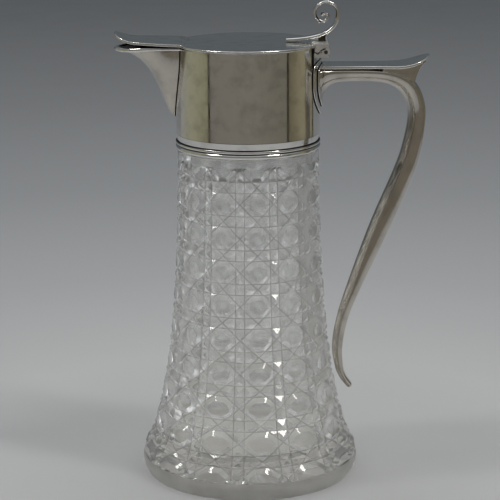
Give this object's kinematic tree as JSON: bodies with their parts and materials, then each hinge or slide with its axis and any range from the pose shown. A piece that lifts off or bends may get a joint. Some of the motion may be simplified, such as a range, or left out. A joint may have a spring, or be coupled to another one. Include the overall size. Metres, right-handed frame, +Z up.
{
  "type": "claret jug",
  "caption": "Tall flared cut-glass claret jug with a silver collar, a drawn spout, a hinged lid with a scroll thumbpiece and an open hollow handle.",
  "frame": {"origin": "centre of the base, on the axis of the glass body, on the plane that the jug stands on", "axes": "+Z up along the axis of the glass body, +X towards the handle, -X towards the spout, +Y across the jug along the hinge pin"},
  "size_m": [0.1712, 0.1214, 0.2648],
  "materials": {
    "silver": "hand-polished silver with fine wiping marks",
    "crystal": "polished clear lead crystal, mitre cut",
    "plaster": "matt setting plaster"
  },
  "bodies": {
    "jug": {"glass_body": "crystal", "mount_plaster": "plaster", "lip_ring": "silver", "lower_reed": "silver", "upper_reed": "silver", "collar_skirt": "silver", "collar_band": "silver", "spout_shell": "silver", "spout_rim_wire": "silver", "saddle_lower": "silver", "saddle_upper": "silver", "handle_tube": "silver", "handle_top_plate": "silver", "thumb_rest_web": "silver", "hinge_bracket": "silver", "hinge_pin": "silver"},
    "lid": {"lid_plate": "silver", "lid_bezel": "silver", "hinge_leaf": "silver", "thumb_riser": "silver", "thumb_scroll": "silver"}
  },
  "joints": [
    {"name": "lid_hinge", "type": "hinge", "parent": "jug", "child": "lid", "pos_m": [0.0419, 0, 0.23873], "axis": [0, 1, 0], "range_deg": [0, 85]}
  ]
}
